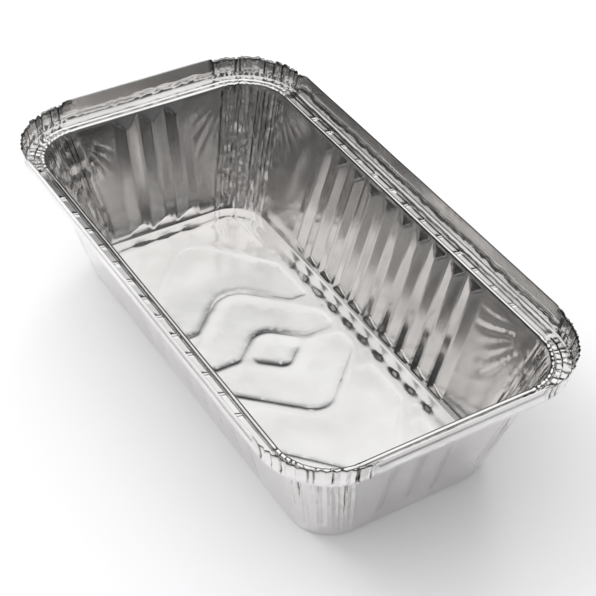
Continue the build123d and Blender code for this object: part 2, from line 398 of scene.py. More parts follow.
def wall_creases(nearest, across, t):
    """Pleats and fan wrinkles, pushed outwards, for points of the wall."""
    push = np.zeros(len(t))
    size = np.interp(t, pleat_levels, pleat_sizes)
    for i in range(4):
        here = nearest == i
        a, h = across[here], t[here]
        push[here] = fold_height(folds[i], a, h) * size[here] - deep_height(i, a, h)
        beyond = np.abs(a) - corner_half
        before = fan_wrinkles(beyond, h, fans[i][0], i + 4.1)
        after = fan_wrinkles(beyond, h, fans[i][1], i + 1.7)
        push[here] += np.where(a > 0, after, before) * ease(0, 2, beyond)
    return push


# %% The creases of the rim
bead_wave, bead_lift, ledge_lift, stand_wave = 0.12, 0.26, 0.16, 0.55


def rim_creases(nearest, across, points, t):
    """Outward and upward shifts for points past the lip."""
    out = np.zeros(len(t))
    lift = np.zeros(len(t))
    small = rumple(points * np.array([1, 1, 0.4]), 0.9, 9)
    for i in range(4):
        here = (nearest == i) & (t >= t_lip)
        a, h = across[here], t[here]
        inside = 1 - ease(corner_half - 1.0, corner_half + 1.5, np.abs(a))
        wave = fold_height(folds[i], a, h)
        bead = (h < t_bead) * ease(t_lip, t_lip + 0.5, h)
        ledge = ((h >= t_bead) & (h < t_stand)) * 1.0
        stand = ease(t_stand, t_stand + 1.5, h)
        out[here] += inside * bead_wave * wave * bead
        lift[here] += inside * (bead_lift * wave + 0.08 * small[here]) * bead
        lift[here] += inside * (ledge_lift * wave + 0.14 * small[here]) * ledge
        out[here] += inside * (stand_wave * wave + 0.08 * small[here]) * stand
        out[here] -= inside * deep_height(i, a, h)
    return out, lift


# %% Ticks across the groove and the wavy foot of the standing edge
short_side_ticks = [-13.6, 0.0, 13.6]
bar_height, bar_apart, bar_half, bar_slant = 0.2, 0.55, 0.4, 0.3


def tick_places(i):
    """Where short pressed bars cross the groove on one side."""
    if i % 2:
        count = rib_count[i]
        return [(k - count / 2) * pitch[i] for k in range(-1, count + 2)]
    return short_side_ticks


def ticks(side, along, t):
    """Height of the small double bars in the groove."""
    height = np.zeros(len(t))
    middle = (t_groove + t_ledge) / 2
    across = ease(t_bead - 0.1, t_groove + 0.25, t) * (1 - ease(t_ledge - 0.35, t_ledge + 0.3, t))
    for i in range(4):
        for place in tick_places(i):
            off = along - place + bar_slant * (t - middle)
            bar = np.clip(1 - np.abs(np.abs(off) - bar_apart) / bar_half, 0, 1)
            height = np.where(side == i, np.maximum(height, bar), height)
    return bar_height * height * across


def stand_foot(points, t):
    """A low ragged ridge near the foot of the standing edge, where the fold was ironed."""
    rough = rumple(points, 1.6, 31) + 0.6 * rumple(points, 4.0, 32)
    ridge = 1.9 + 0.7 * rough
    above = t - t_stand
    shape = np.clip(1 - np.abs(above - ridge) / np.where(above < ridge, ridge, 1.3), 0, 1)
    return (0.34 + 0.12 * rough) * shape * (above > 0)


# %% Carry points to the tray
raw_drop = 0.55
wall_waves = [(0.07, 9.0, 3), (0.022, 3.5, 4)]
out_waves, up_waves = [(0.10, 17.0, 6)], [(0.10, 23.0, 7)]
tall_bumps, upright_waves = np.array([1, 1, 0.35]), np.array([1, 1, 0.0])


def carry(s, t, rough=True):
    """Places of sheet points on the tray, in millimetres."""
    side, along, share = locate(s)
    nearest, across = corner_across(side, along, share)
    in_corner = (share > 0) & (share < 1)
    o = np.interp(t, line_t, line_o)
    z = np.interp(t, line_t, line_z)
    wall_radius = base_radius + (lip_radius - base_radius) * (o + wall_inset) / wall_inset
    radius = np.where(t <= t_lip, wall_radius, lip_radius + o)
    heading = np.radians(90) * (side + share)
    long_side = side % 2 == 1
    half_out = np.where(long_side, half_wide, half_long)
    half_side = np.where(long_side, half_long, half_wide)
    zone = np.array(rib_zone)[side]
    span = half_side - lip_radius
    reach_now = half_side + o - radius
    past = np.clip((np.abs(along) - zone) / (span - zone), 0, 1)
    stretched = np.sign(along) * (zone + past * (reach_now - zone))
    along_now = np.where(np.abs(along) <= zone, along, stretched)
    turned = np.radians(90) * side
    flat_x = np.cos(turned) * (half_out + o) - np.sin(turned) * along_now
    flat_y = np.sin(turned) * (half_out + o) + np.cos(turned) * along_now
    sign = np.array(corner_sign)[side]
    round_x = sign[:, 0] * (half_long + o - radius) + radius * np.cos(heading)
    round_y = sign[:, 1] * (half_wide + o - radius) + radius * np.sin(heading)
    x = np.where(share > 0, round_x, flat_x)
    y = np.where(share > 0, round_y, flat_y)
    points = np.stack([x, y, z], 1)
    if not rough:
        return points
    wall = ease(0, 3, t) * (1 - ease(t_lip - 2, t_lip, t)) * (t < t_lip)
    push = -np.where(share > 0, 0, rib_shape(side, along, z)) * (t < t_lip)
    push += np.where(t < t_lip, wall_creases(nearest, across, t), 0)
    push += wall * rumples(points, wall_waves)
    dents = 0.10 * rumple(points * tall_bumps, 1.2, 5) + 0.24 * rumple(points, 2.6, 15)
    push += np.where(t < t_lip, dents, 0) * in_corner * wall
    out, lift = rim_creases(nearest, across, points, t)
    push += out + stand_foot(points, t)
    rim = ease(t_lip, t_lip + 1, t)
    push += rim * rumples(points * upright_waves, out_waves)
    lift += rim * rumples(points * upright_waves, up_waves)
    lift += np.where(share > 0, 0, ticks(side, along, t))
    inside = 1 - ease(corner_half - 0.2, corner_half + 0.3, np.abs(across))
    ragged = raw_drop + 0.5 * rumple(points * upright_waves, 1.5, 8)
    for i in range(4):
        ragged = ragged + np.where(nearest == i, 0.8 * deep_height(i, across, t), 0)
    lift -= inside * np.clip(ragged, 0.05, 2) * ease(t_stand + 2, t_top, t)
    points[:, 0] += np.cos(heading) * push
    points[:, 1] += np.sin(heading) * push
    points[:, 2] += lift
    return points


print("foot of the wall", carry(np.array([0.0]), np.array([0.0])).round(2))

# %% [markdown]
# ## Lay out the points of the sheet
# Flat facets need few points and creased parts need many. So each zone gets
# its own rows and spacing. Rows that have to stay crisp, such as the lip and
# the hem, are given as edges, and the triangle maker keeps them.

# %% Rows of points
rim_step, fine_step, hem_step, corner_step = 2.2, 1.0, 2.6, 0.62
plan = []
fixed_edges = []


def add_line(points, keep=True):
    """One line of points in the plan. If keep is true, it becomes a crisp line."""
    first = len(plan)
    plan.extend((float(s), float(t)) for s, t in points)
    if keep:
        fixed_edges.extend((k, k + 1) for k in range(first, len(plan) - 1))


def add_row(places, t, keep=True):
    """One row of points at a height."""
    add_line([(s, t) for s in places], keep)


def spread(start, end, step):
    """Evenly spaced values from start to end, about a step apart."""
    count = max(1, round((end - start) / step))
    return list(np.linspace(start, end, count + 1))


def merged(values, nearest=0.12):
    """Sorted values with the ones that nearly coincide left out."""
    kept = []
    for value in sorted(values):
        if not kept or value - kept[-1] > nearest:
            kept.append(value)
    return kept


def corner_columns(i, t):
    """Places round one corner that follow its folds at one height."""
    where = fold_at(folds[i], np.array([float(t)]))[0][0][1:-1]
    places = [-corner_half, corner_half] + list(where)
    if t > t_stand or t < t_lip - 1:
        for k, start, depth in deep[i]:
            if t > t_stand or t > start:
                places += [where[k - 1] - deep_width, where[k - 1] + deep_width]
    places = merged([p for p in places if abs(p) <= corner_half], 0.16)
    if corner_half - places[-1] > 1e-6:
        places[-1] = corner_half
    filled = [places[0]]
    for a, b in zip(places, places[1:]):
        filled += spread(a, b, corner_step)[1:]
    middle = side_start[i] + straight[i] + corner_half
    return [middle + p for p in filled]


def whole_round(straight_step, t, bars=False):
    """Row positions once round, from the first side's middle back to it."""
    places = []
    for i in range(4):
        middle, end = side_middle[i], side_start[i] + straight[i]
        start = side_start[i] if i else middle
        more = [middle + u for u in extra_places[i] if i or u >= 0] if bars else []
        row = merged(spread(start, end, straight_step) + more)
        places += (row[1:] if i else row) + corner_columns(i, t)[1:]
    start = round_length - straight[0] / 2
    last = [round_length + u for u in extra_places[0] if u < 0] if bars else []
    places += merged(spread(start, round_length, straight_step) + last)[1:]
    return places


extra_places = []
for i in range(4):
    across_bar = [p + d for p in tick_places(i) for d in (-1.1, -0.75, -0.35, 0, 0.35, 0.75, 1.1)]
    extra_places.append([b for b in across_bar if abs(b) < straight[i] / 2 - 0.5])
print("places across the ticks", sum(len(p) for p in extra_places))

# %% Rows of the rim
for t in line_t[1:bead_end + 1]:
    add_row(whole_round(rim_step, t), t)
groove_rows = [t_groove, (t_groove + t_ledge) / 2 - 0.3, (t_groove + t_ledge) / 2 + 0.3]
for t in groove_rows + [line_t[bead_end + 2]]:
    add_row(whole_round(rim_step, t, True), t)
for share in (0.0, 0.3, 0.6, 1.0):
    t = t_ledge + share * (t_stand - t_ledge)
    add_row(whole_round(rim_step, t), t)
for climb in (0.5, 1.0, 1.5, 2.1, 2.8, 3.6, 5.0, 6.8):
    t = t_stand + climb
    add_row(whole_round(fine_step if climb < 3 else rim_step, t), t, False)
add_row(whole_round(rim_step, t_top), t_top)
print("points in the rim", len(plan))

# %% Rows of the hem, on the straight sides only
hem_slant, slant_from = 0.5, 0.8
for t in list(line_t[edge_top + 1:]) + [t_top + 2.2]:
    back = hem_slant * max(0, t - t_top - slant_from)
    for i in range(4):
        start, end = side_start[i] + back, side_start[i] + straight[i] - back
        middle = side_middle[i]
        if i == 0:
            add_row(spread(middle, end, hem_step), t)
            add_row([round_length + p for p in spread(start, middle, hem_step)], t)
        else:
            add_row(spread(start, end, hem_step), t)
print("with the hem", len(plan))

# %% Points of the ribbed walls
rib_rows = [0.3, 0.9, 1.45, 2.3, 3.2, 4.1, 5.0, 5.9, 6.6, 11, 20, 29, 38, 44]
rib_rows += [46.4, 47.4, 47.8, 48.2, 48.7, 49.2, 49.7, 50.2, 50.7, 51.2]
# Distances from the middle of a gap to the columns of points of half a rib
offsets = [0, 0.42, 0.65, 0.95, 2.7, 4.35, 4.69, 5.0, 5.335]
for i in range(4):
    middle = side_middle[i]
    scale = pitch[i] / long_pitch
    columns = []
    for k in range(rib_count[i] + 1):
        valley = (k - rib_count[i] / 2) * pitch[i]
        columns += [valley + d * scale for d in offsets] + [valley - d * scale for d in offsets]
    columns = merged([c for c in columns if abs(c) <= rib_zone[i] + 0.01])
    for c in columns:
        s = middle + c
        if i or c > 0.01:
            copies = [s]
        else:
            copies = [s + round_length] if c < -0.01 else [0, round_length]
        for place in copies:
            add_line([(place, t) for t in rib_rows])
print("with the ribs", len(plan))

# %% Points of the plain walls and the pleated corners
shaker = np.random.default_rng(7)


def scatter(start, end, low, high, step_s, step_t, shake=0.3):
    """A shaken grid of points over a patch of the plan."""
    for row, t in enumerate(np.arange(low, high, step_t)):
        shift = 0.5 * step_s * (row % 2)
        for s in np.arange(start + shift, end, step_s):
            ds, dt = shaker.uniform(-shake, shake, 2)
            plan.append((float(s + ds * step_s), float(t + dt * step_t)))


for i in range(4):
    middle = side_middle[i]
    turn = round_length if i == 0 else 0
    left, right = middle - rib_zone[i], middle + rib_zone[i]
    start, end = side_start[i], side_start[i] + straight[i]
    for a, b in ((start + turn + 0.7, left + turn - 0.7), (right + 0.7, end - 0.7)):
        scatter(a, b, 24, t_lip - 0.5, 1.15, 1.15)
        scatter(a, b, 1.0, 23.2, 2.4, 2.4)
    for t in list(np.arange(1.2, 22, 1.7)) + list(np.arange(22.5, t_lip - 0.5, 1.35)):
        add_row(corner_columns(i, t), t, False)
print("with the corners", len(plan))

# %% Points at the foot, shared with the floor
foot_row = whole_round(1.15, 0.0)
add_row(foot_row, 0.0)
print("points in the plan", len(plan))

# %% Join the points into triangles
plan_points = [Vector(p) for p in plan]
joined = delaunay_2d_cdt(plan_points, fixed_edges, [], 0, 1e-5)
plan_verts = np.array([tuple(v) for v in joined[0]])
plan_faces = np.array([f for f in joined[2] if len(f) == 3])
centre = plan_verts[plan_faces].mean(1)
side, along, share = locate(centre[:, 0])
past_slant = np.maximum(0, centre[:, 1] - t_top - slant_from)
hem_edge = np.array(straight)[side] / 2 - hem_slant * past_slant
past_top = centre[:, 1] > t_top
keep = ~past_top | (np.abs(along) < hem_edge)
keep &= (centre[:, 1] <= t_hem) & (centre[:, 0] <= round_length) & (centre[:, 0] >= 0)
plan_faces = plan_faces[keep]
wall_points = carry(plan_verts[:, 0], plan_verts[:, 1])
side, along, share = locate(plan_verts[:, 0])
nearest, across = corner_across(side, along, share)
# Painted shade: a mark from 0 to 1 that turns the foil colour near black inside pleats pressed shut
# and along the raw edge at the corners, where shade falls in the narrow gaps.
full_shade_depth, raw_edge_shade = 0.4, 0.7
painted_shade_amount = np.zeros(len(plan_verts))
for i in range(4):
    here = nearest == i
    pushed = deep_height(i, across[here], plan_verts[here, 1])
    patchy = np.clip(0.75 + 0.6 * rumple(wall_points[here], 4.0, 33), 0.2, 1)
    painted_shade_amount[here] = np.clip(pushed / full_shade_depth, 0, 1) * patchy
raw_edge = (np.abs(across) < corner_half) & (np.abs(plan_verts[:, 1] - t_top) < 0.05)
painted_shade_amount = np.where(raw_edge, np.maximum(painted_shade_amount, raw_edge_shade), painted_shade_amount)
print("triangles in walls and rim", len(plan_faces))

# %% [markdown]
# ## The floor
# The tray stands on a narrow flat ring. Inside the ring the floor rises a
# millimetre, and thin raised seams divide it into nine shallow pans: a diamond
# in the middle, two chevrons and two arrows round it, and four small end pans.
# The seams are drawn as outlines first. The distance to the nearest seam then
# gives the height of any point of the floor. From a seam the pan falls away in
# an arch, then a short step, then a long gentle slope.

# %% Seam outlines
ring_width, slope_x, slope_y = 4.0, 3.6, 4.8
seam_height, seam_half, pan_height = 1.0, 0.4, 0.74
seam_flat, seam_step, arch_share, step_share = 1.6, 0.8, 0.3, 0.35
foot_x, foot_y = half_long - wall_inset, half_wide - wall_inset
ring_x, ring_y, ring_round = foot_x - ring_width, foot_y - ring_width, base_radius - ring_width
field_x, field_y = ring_x - slope_x, ring_y - slope_y
field_round = max(1.0, base_radius - ring_width - slope_x - seam_half)
pan_slope = 0.1436 * field_y


def rounded(corners, steps=6):
    """Round the corners of an outline. Each corner is x, y and radius."""
    outline = []
    for i, (x, y, radius) in enumerate(corners):
        before = Vector(corners[i - 1][:2]) - Vector((x, y))
        after = Vector(corners[(i + 1) % len(corners)][:2]) - Vector((x, y))
        shortest = min(before.length, after.length)
        before.normalize()
        after.normalize()
        half = math.acos(max(-1, min(1, before.dot(after)))) / 2
        reach = radius / math.tan(half)
        if radius == 0 or reach > 0.49 * shortest:
            outline.append((x, y))
            continue
        centre = Vector((x, y)) + (before + after).normalized() * radius / math.sin(half)
        a = Vector((x, y)) + before * reach - centre
        b = Vector((x, y)) + after * reach - centre
        start = math.atan2(a.y, a.x)
        turn = (math.atan2(b.y, b.x) - start + math.pi) % (2 * math.pi) - math.pi
        for k in range(steps + 1):
            angle = start + turn * k / steps
            outline.append((centre.x + radius * math.cos(angle),
                            centre.y + radius * math.sin(angle)))
    return outline


def mirror(outlines, flip_x, flip_y):
    """Add mirrored copies of outlines."""
    copies = list(outlines)
    if flip_x:
        copies += [[(-x, y, r) for x, y, r in o][::-1] for o in copies]
    if flip_y:
        copies += [[(x, -y, r) for x, y, r in o][::-1] for o in copies]
    return copies


def seam_outlines():
    """The nine pans, each as an outline along its seams."""
    end, top = field_x, field_y
    small = pan_slope + seam_half + 0.6
    tip, bend, shoulder = 0.205 * top, 0.342 * top, 0.274 * top
    dx, dy = 0.15 * end, 0.472 * top
    cx, ctx = 0.498 * end, 0.154 * end
    ax, atx, sx = 0.967 * end, 0.562 * end, 0.265 * end
    sy = (cx - sx) / (cx - ctx) * top
    lean = (ax - atx) / top
    ey, gy = 0.706 * top, 0.137 * top
    diamond = [(dx, 0, tip), (0, dy, small), (-dx, 0, tip), (0, -dy, small)]
    chevron = [(0, top, small), (0, dy, tip), (dx, 0, tip), (0, -dy, tip), (0, -top, small)]
    chevron += [(ctx, -top, shoulder), (cx, 0, bend), (ctx, top, shoulder)]
    arrow = [(sx, top, small), (sx, sy, tip), (cx, 0, bend), (sx, -sy, tip), (sx, -top, small)]
    arrow += [(atx, -top, shoulder), (ax, 0, 0.376 * top), (atx, top, shoulder)]
    end_pan = [(end, top, max(small, field_round)), (ax - lean * ey, top, small)]
    end_pan += [(ax - lean * ey, ey, small), (ax - lean * gy, gy, 0), (end, gy, 0)]
    return [diamond] + mirror([chevron, arrow], True, False) + mirror([end_pan], True, True)


def anticlockwise(outline):
    """The same outline, turned so that its inside is on the left."""
    area = sum(outline[i - 1][0] * outline[i][1] - outline[i][0] * outline[i - 1][1]
               for i in range(len(outline)))
    return outline if area > 0 else outline[::-1]


seams = [rounded(anticlockwise(o)) for o in seam_outlines()]
print("pans", len(seams))

# %% Distances on the floor
def box_distance(x, y, half_x, half_y, radius):
    """Distance to a rounded rectangle, negative inside."""
    qx = np.abs(x) - half_x + radius
    qy = np.abs(y) - half_y + radius
    outside = np.hypot(np.maximum(qx, 0), np.maximum(qy, 0))
    return outside + np.minimum(np.maximum(qx, qy), 0) - radius


def seam_distance(x, y):
    """Distance to the nearest seam."""
    best = np.full(len(x), 1e9)
    for outline in seams:
        for i in range(len(outline)):
            ax, ay = outline[i - 1]
            bx, by = outline[i]
            length = (bx - ax) ** 2 + (by - ay) ** 2 + 1e-12
            share = np.clip(((x - ax) * (bx - ax) + (y - ay) * (by - ay)) / length, 0, 1)
            off_x = x - ax - share * (bx - ax)
            off_y = y - ay - share * (by - ay)
            best = np.minimum(best, np.hypot(off_x, off_y))
    return best


floor_waves = [(0.05, 14.0, 21), (0.02, 5.0, 22)]


def floor_height(x, y):
    """Height of the upper face of the floor."""
    ring = -box_distance(x, y, ring_x, ring_y, ring_round)
    crest = box_distance(x, y, field_x + seam_half, field_y + seam_half, field_round + seam_half)
    share = np.clip(ring / np.maximum(ring + crest, 1e-6), 0, 1)
    slope = seam_height * (0.55 * share + 0.45 * ease(-0.12, 1.05, share))
    slope = np.where(ring <= 0, 0, slope)
    away = seam_distance(x, y)
    down = arch_share * np.clip((away - 0.3) / (seam_flat - 0.3), 0, 1) ** 1.5
    down = down + step_share * ease(seam_flat, seam_flat + seam_step, away)
    rest = 1 - arch_share - step_share
    down = down + rest * ease(seam_flat + seam_step, seam_half + pan_slope, away)
    pans = seam_height - (seam_height - pan_height) * down
    height = np.where(crest > 0, slope, pans)
    points = np.stack([x, y, np.zeros(len(x))], 1)
    wave = rumples(points, floor_waves)
    edge = ease(-4.5, -1.0, -ring) * (1 - ease(3.0, 4.0, -ring))
    ends = ease(half_long - 45, half_long - 22, np.abs(x))
    crinkle = (0.03 + 0.11 * ends) * rumple(points * np.array([1, 0.6, 1]), 3.4, 23) * edge
    inside = ease(0, 2, -box_distance(x, y, foot_x, foot_y, base_radius))
    return gauge + np.maximum(height + (wave + crinkle) * inside, 0)


print("height on the diamond", floor_height(np.array([0.0]), np.array([0.0])).round(2))

# %% Lay out the floor
foot = carry(np.array(foot_row), np.zeros(len(foot_row)))[:-1]
floor_plan = [(float(p[0]), float(p[1])) for p in foot]
floor_edges = [(k, (k + 1) % len(foot)) for k in range(len(foot))]


def inset(outline, distance):
    """An outline shifted inwards."""
    shifted = []
    for i in range(len(outline)):
        here = Vector(outline[i])
        a = (here - Vector(outline[i - 1])).normalized()
        b = (Vector(outline[(i + 1) % len(outline)]) - here).normalized()
        normal = Vector((-a.y - b.y, a.x + b.x))
        shifted.append(tuple(here + normal * 2 * distance / max(normal.length_squared, 0.3)))
    return shifted


def resampled(outline, step):
    """Points along a closed outline, about a step apart, with its corners kept."""
    points = []
    for i in range(len(outline)):
        a, b = Vector(outline[i - 1]), Vector(outline[i])
        count = max(1, round((b - a).length / step))
        points += [tuple(a.lerp(b, k / count)) for k in range(count)]
    return points


def add_outline(points):
    """Put a closed outline into the floor plan as a crisp line."""
    first = len(floor_plan)
    floor_plan.extend(points)
    count = len(points)
    floor_edges.extend((first + k, first + (k + 1) % count) for k in range(count))


lines_beside_seam = (0.4, 1.0, seam_flat, seam_flat + 0.5 * seam_step,
                     seam_flat + seam_step, seam_half + pan_slope)
for outline in seams:
    for distance in lines_beside_seam:
        add_outline(resampled(inset(outline, distance), 1.8))
for distance in (0.0, 0.5 * slope_x):
    hx, hy, r = ring_x - distance, ring_y - distance, ring_round - distance
    corners = [(hx, hy, r), (-hx, hy, r), (-hx, -hy, r), (hx, -hy, r)]
    add_outline(resampled(rounded(corners, 10), 1.4))
print("floor outline points", len(floor_plan))

# %% Fill the floor with points and join them
grid_step, kept_share = 1.15, 0.3
grid = []
for row, y in enumerate(np.arange(-foot_y, foot_y, grid_step)):
    for x in np.arange(-foot_x + 0.6 * (row % 2), foot_x, grid_step):
        dx, dy = shaker.uniform(-0.35, 0.35, 2)
        grid.append((x + dx, y + dy))
grid = np.array(grid)
foot_gap = -box_distance(grid[:, 0], grid[:, 1], foot_x, foot_y, base_radius)
ring_gap = -box_distance(grid[:, 0], grid[:, 1], ring_x, ring_y, ring_round)
in_margin = (foot_gap > 0.9) & (ring_gap < slope_y)
pick = shaker.random(len(grid)) < kept_share
grid = grid[in_margin | (pick & (ring_gap >= slope_y))]
floor_plan += [(float(x), float(y)) for x, y in grid]
joined = delaunay_2d_cdt([Vector(p) for p in floor_plan], floor_edges, [], 1, 1e-4)
floor_xy = np.array([tuple(v) for v in joined[0]])
floor_faces = np.array([f for f in joined[2] if len(f) == 3])
floor_z = floor_height(floor_xy[:, 0], floor_xy[:, 1])
print("triangles in the floor", len(floor_faces))

# %% [markdown]
# ## One mesh for the whole sheet
# Walls and floor share the points at the foot, so joining points that coincide
# makes one skin. A Solidify modifier then gives the skin its real gauge. Two
# marks are stored on the points. One is painted shade for the colour: it goes near
# black where a pleat is pressed shut or the raw edge shows. The other, "worked", says where the
# foil was crumpled.

# %% Build the mesh
floor_points = np.column_stack([floor_xy, floor_z])
all_points = np.concatenate([wall_points, floor_points]) * mm
wall_turned = plan_faces[:, ::-1]
all_faces = np.concatenate([wall_turned, floor_faces + len(wall_points)])
mesh = bpy.data.meshes.new("foil_tray_sheet")
mesh.from_pydata(all_points.tolist(), [], all_faces.tolist())
tray = bpy.data.objects.new("foil_tray_sheet", mesh)
link(tray)
# Painted shade for the colour, kept on each point: near black inside shut pleats and at the raw
# edge.
painted_fold_shade = mesh.attributes.new("painted_fold_shade", "FLOAT", "POINT")
painted_shade_all = np.concatenate([painted_shade_amount, np.zeros(len(floor_points))])
painted_fold_shade.data.foreach_set("value", painted_shade_all.astype(np.float32))
weld_distance = 0.00002
skin = bmesh.new()
skin.from_mesh(mesh)
bmesh.ops.remove_doubles(skin, verts=skin.verts, dist=weld_distance)
loose = [v for v in skin.verts if not v.link_faces]
bmesh.ops.delete(skin, geom=loose, context="VERTS")
open_edges = [e for e in skin.edges if len(e.link_faces) == 1]
odd_edges = [e for e in skin.edges if len(e.link_faces) > 2]
print("open edges", len(open_edges), "odd edges", len(odd_edges), "faces", len(skin.faces))
skin.to_mesh(mesh)
skin.free()

# %% Mark where the foil was worked hard
worked = mesh.attributes.new("worked", "FLOAT", "POINT")
places = np.zeros(len(mesh.vertices) * 3)
mesh.vertices.foreach_get("co", places)
places = places.reshape(-1, 3) / mm
corner_gap = np.maximum(half_long - lip_radius - np.abs(places[:, 0]),
                        half_wide - lip_radius - np.abs(places[:, 1]))
amount = 1 - ease(-2.0, 3.0, corner_gap)
amount = amount * ease(2, 10, places[:, 2])
rim_part = ease(lip_height - 0.5, lip_height + 0.5, places[:, 2])
amount = np.clip(np.maximum(amount, 0.25 * rim_part), 0, 1)
worked.data.foreach_set("value", amount.astype(np.float32))
print("worked points", int((amount > 0.5).sum()), "of", len(amount))

# %% Give the sheet its gauge
sharp_angle = math.radians(26)
mesh.shade_smooth()
mesh.set_sharp_from_angle(angle=sharp_angle)
gauge_modifier = tray.modifiers.new("gauge", "SOLIDIFY")
gauge_modifier.thickness = gauge * mm
gauge_modifier.offset = -1
gauge_modifier.use_even_offset = False
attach(tray, "root")
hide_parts("foil_tray")
evaluated = tray.evaluated_get(bpy.context.evaluated_depsgraph_get()).to_mesh()
evaluated.calc_loop_triangles()
print("triangles with both faces of the sheet", len(evaluated.loop_triangles))

# %% [markdown]
# ## The finish of rolled foil
# Rolled aluminium is a mirror that has been brushed very lightly in one
# direction: fine lines run along the rolling direction, and they blur what the
# sheet reflects. Three effects are shader node groups, so that each can be
# placed in any material with its own values: the rolling grain, the tiny
# creases of handled foil, and the faint smudges that dull it. Light gets lost
# inside a fold that is pressed shut, so the colour there is painted dark as shade, and the raw edge
# of the corners gets the same painted shade.

# %% Helpers for node trees
def new_group(name, inputs, outputs):
    """An empty node group with named sockets."""
    group = bpy.data.node_groups.new(name, "ShaderNodeTree")
    for label, value in inputs:
        socket = group.interface.new_socket(name=label, in_out="INPUT",
                                            socket_type="NodeSocketFloat")
        socket.default_value = value
    for label in outputs:
        group.interface.new_socket(name=label, in_out="OUTPUT", socket_type="NodeSocketFloat")
    return group, group.nodes.new("NodeGroupInput"), group.nodes.new("NodeGroupOutput")


def feed(tree, socket, value):
    """Link another socket into a socket, or give it a plain value."""
    if isinstance(value, bpy.types.NodeSocket):
        tree.links.new(value, socket)
    else:
        socket.default_value = value


def add_node(tree, kind, inputs=None, **settings):
    """A node with its settings made and its inputs fed."""
    node = tree.nodes.new(kind)
    for name, value in settings.items():
        setattr(node, name, value)
    for name, value in (inputs or {}).items():
        feed(tree, node.inputs[name], value)
    return node


def maths(tree, operation, first, second):
    """The result of a maths node. Each operand is a socket or a number."""
    node = add_node(tree, "ShaderNodeMath", {0: first, 1: second}, operation=operation)
    return node.outputs[0]


# %% Rolling grain
def grain_group():
    """Fine lines along the rolling direction, as a height from 0 to 1."""
    tree, start, end = new_group("rolling grain", [("Lines per metre", 4200.0)], ["Height"])
    where = add_node(tree, "ShaderNodeTexCoord").outputs["Object"]
    stretch = add_node(tree, "ShaderNodeVectorMath", {0: where, 1: (0.035, 1.0, 1.0)},
                       operation="MULTIPLY")
    noise = add_node(tree, "ShaderNodeTexNoise", {
        "Vector": stretch.outputs[0], "Scale": start.outputs[0], "Detail": 3.0})
    feed(tree, end.inputs[0], noise.outputs["Fac"])
    return tree


# %% Handling creases
def crease_group():
    """Thin random creases, as a height from 0 to 1."""
    tree, start, end = new_group("handling creases", [("Creases per metre", 330.0)], ["Height"])
    where = add_node(tree, "ShaderNodeTexCoord").outputs["Object"]
    bend = add_node(tree, "ShaderNodeTexNoise", {"Vector": where, "Scale": 180.0})
    squeeze = add_node(tree, "ShaderNodeVectorMath", {0: where, 1: (1.0, 1.0, 0.28)},
                       operation="MULTIPLY")
    shift = add_node(tree, "ShaderNodeVectorMath", {
        0: bend.outputs["Color"], 1: (0.006, 0.006, 0.006), 2: squeeze.outputs[0]},
        operation="MULTIPLY_ADD")
    cells = add_node(tree, "ShaderNodeTexVoronoi", feature="DISTANCE_TO_EDGE")
    feed(tree, cells.inputs["Vector"], shift.outputs[0])
    feed(tree, cells.inputs["Scale"], start.outputs[0])
    height = maths(tree, "MULTIPLY", cells.outputs["Distance"], 1.6)
    feed(tree, end.inputs[0], maths(tree, "MINIMUM", height, 1.0))
    return tree


# %% Smudges
def smudge_group():
    """Soft cloudy marks that dull the metal, from 0 to 1."""
    tree, start, end = new_group("smudges", [("Marks per metre", 38.0)], ["Amount"])
    where = add_node(tree, "ShaderNodeTexCoord").outputs["Object"]
    cloud = add_node(tree, "ShaderNodeTexNoise", {
        "Vector": where, "Scale": start.outputs[0], "Detail": 4.0})
    lifted = maths(tree, "SUBTRACT", cloud.outputs["Fac"], 0.35)
    feed(tree, end.inputs[0], maths(tree, "MULTIPLY", lifted, 2.5))
    return tree


grain, creases, smudges = grain_group(), crease_group(), smudge_group()
print("finish groups", grain.name, creases.name, smudges.name)

# %% The foil material
clean_foil, smudged_foil = (0.865, 0.852, 0.84, 1), (0.77, 0.757, 0.744, 1)
# Near-black colour of the painted shade inside shut folds and at the raw edge
painted_shade_colour = (0.03, 0.027, 0.025, 1)
polish, smudge_dulling, grain_dulling = 0.07, 0.06, 0.08
crease_everywhere, crease_when_worked, grain_depth = 0.02, 0.32, 0.03


